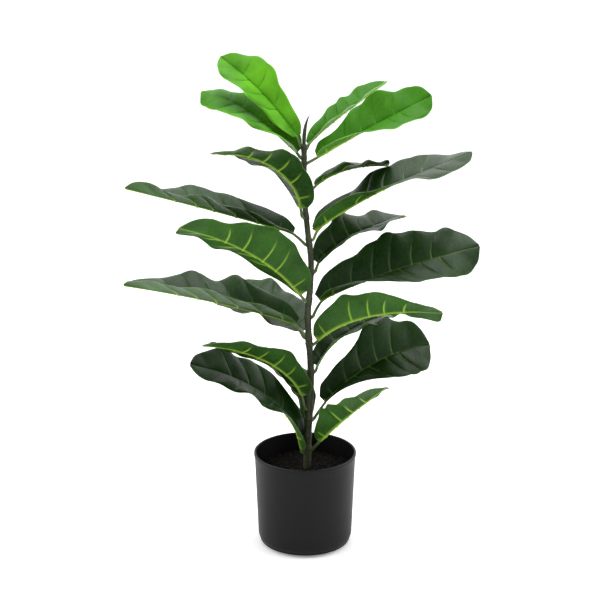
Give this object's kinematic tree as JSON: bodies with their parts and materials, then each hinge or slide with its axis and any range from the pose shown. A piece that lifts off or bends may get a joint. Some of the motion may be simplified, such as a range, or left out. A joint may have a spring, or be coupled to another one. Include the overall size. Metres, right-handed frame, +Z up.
{
  "type": "potted fiddle leaf fig plant",
  "caption": "Young fiddle leaf fig with one slender upright stem and large fiddle-shaped leaves, in a plain round black nursery-style pot filled with soil; a free-standing indoor plant.",
  "frame": {"origin": "centre of the underside of the pot, on the surface it stands on", "axes": "+Z up along the pot's axis; the plant's widest spread lies along X, with its fuller side facing -Y"},
  "size_m": [0.5069, 0.2498, 0.7126],
  "materials": {
    "pot": "satin black moulded plastic",
    "soil": "dark moist potting soil, loose crumbs of peat and bark",
    "stem": "greenish brown young bark with leaf scars",
    "bud": "dark dry sheath",
    "leaf": "leathery dark green leaf, waxy upper face, paler under face with yellow-green ribs",
    "young_leaf": "soft bright green young leaf, satin"
  },
  "bodies": {
    "root": {"pot": "pot", "soil": "soil", "stem": "stem", "bud_sheath": "bud", "leaf_01": "leaf", "leaf_02": "leaf", "leaf_03": "leaf", "leaf_04": "leaf", "leaf_05": "leaf", "leaf_06": "leaf", "leaf_07": "leaf", "leaf_08": "leaf", "leaf_09": "leaf", "leaf_10": "leaf", "leaf_11": "leaf", "leaf_12": "leaf", "leaf_13": "leaf", "leaf_14": "leaf", "leaf_15": "leaf", "leaf_16": "leaf", "leaf_17": "young_leaf", "leaf_18": "young_leaf", "leaf_19": "young_leaf", "leaf_20": "young_leaf"}
  },
  "joints": []
}
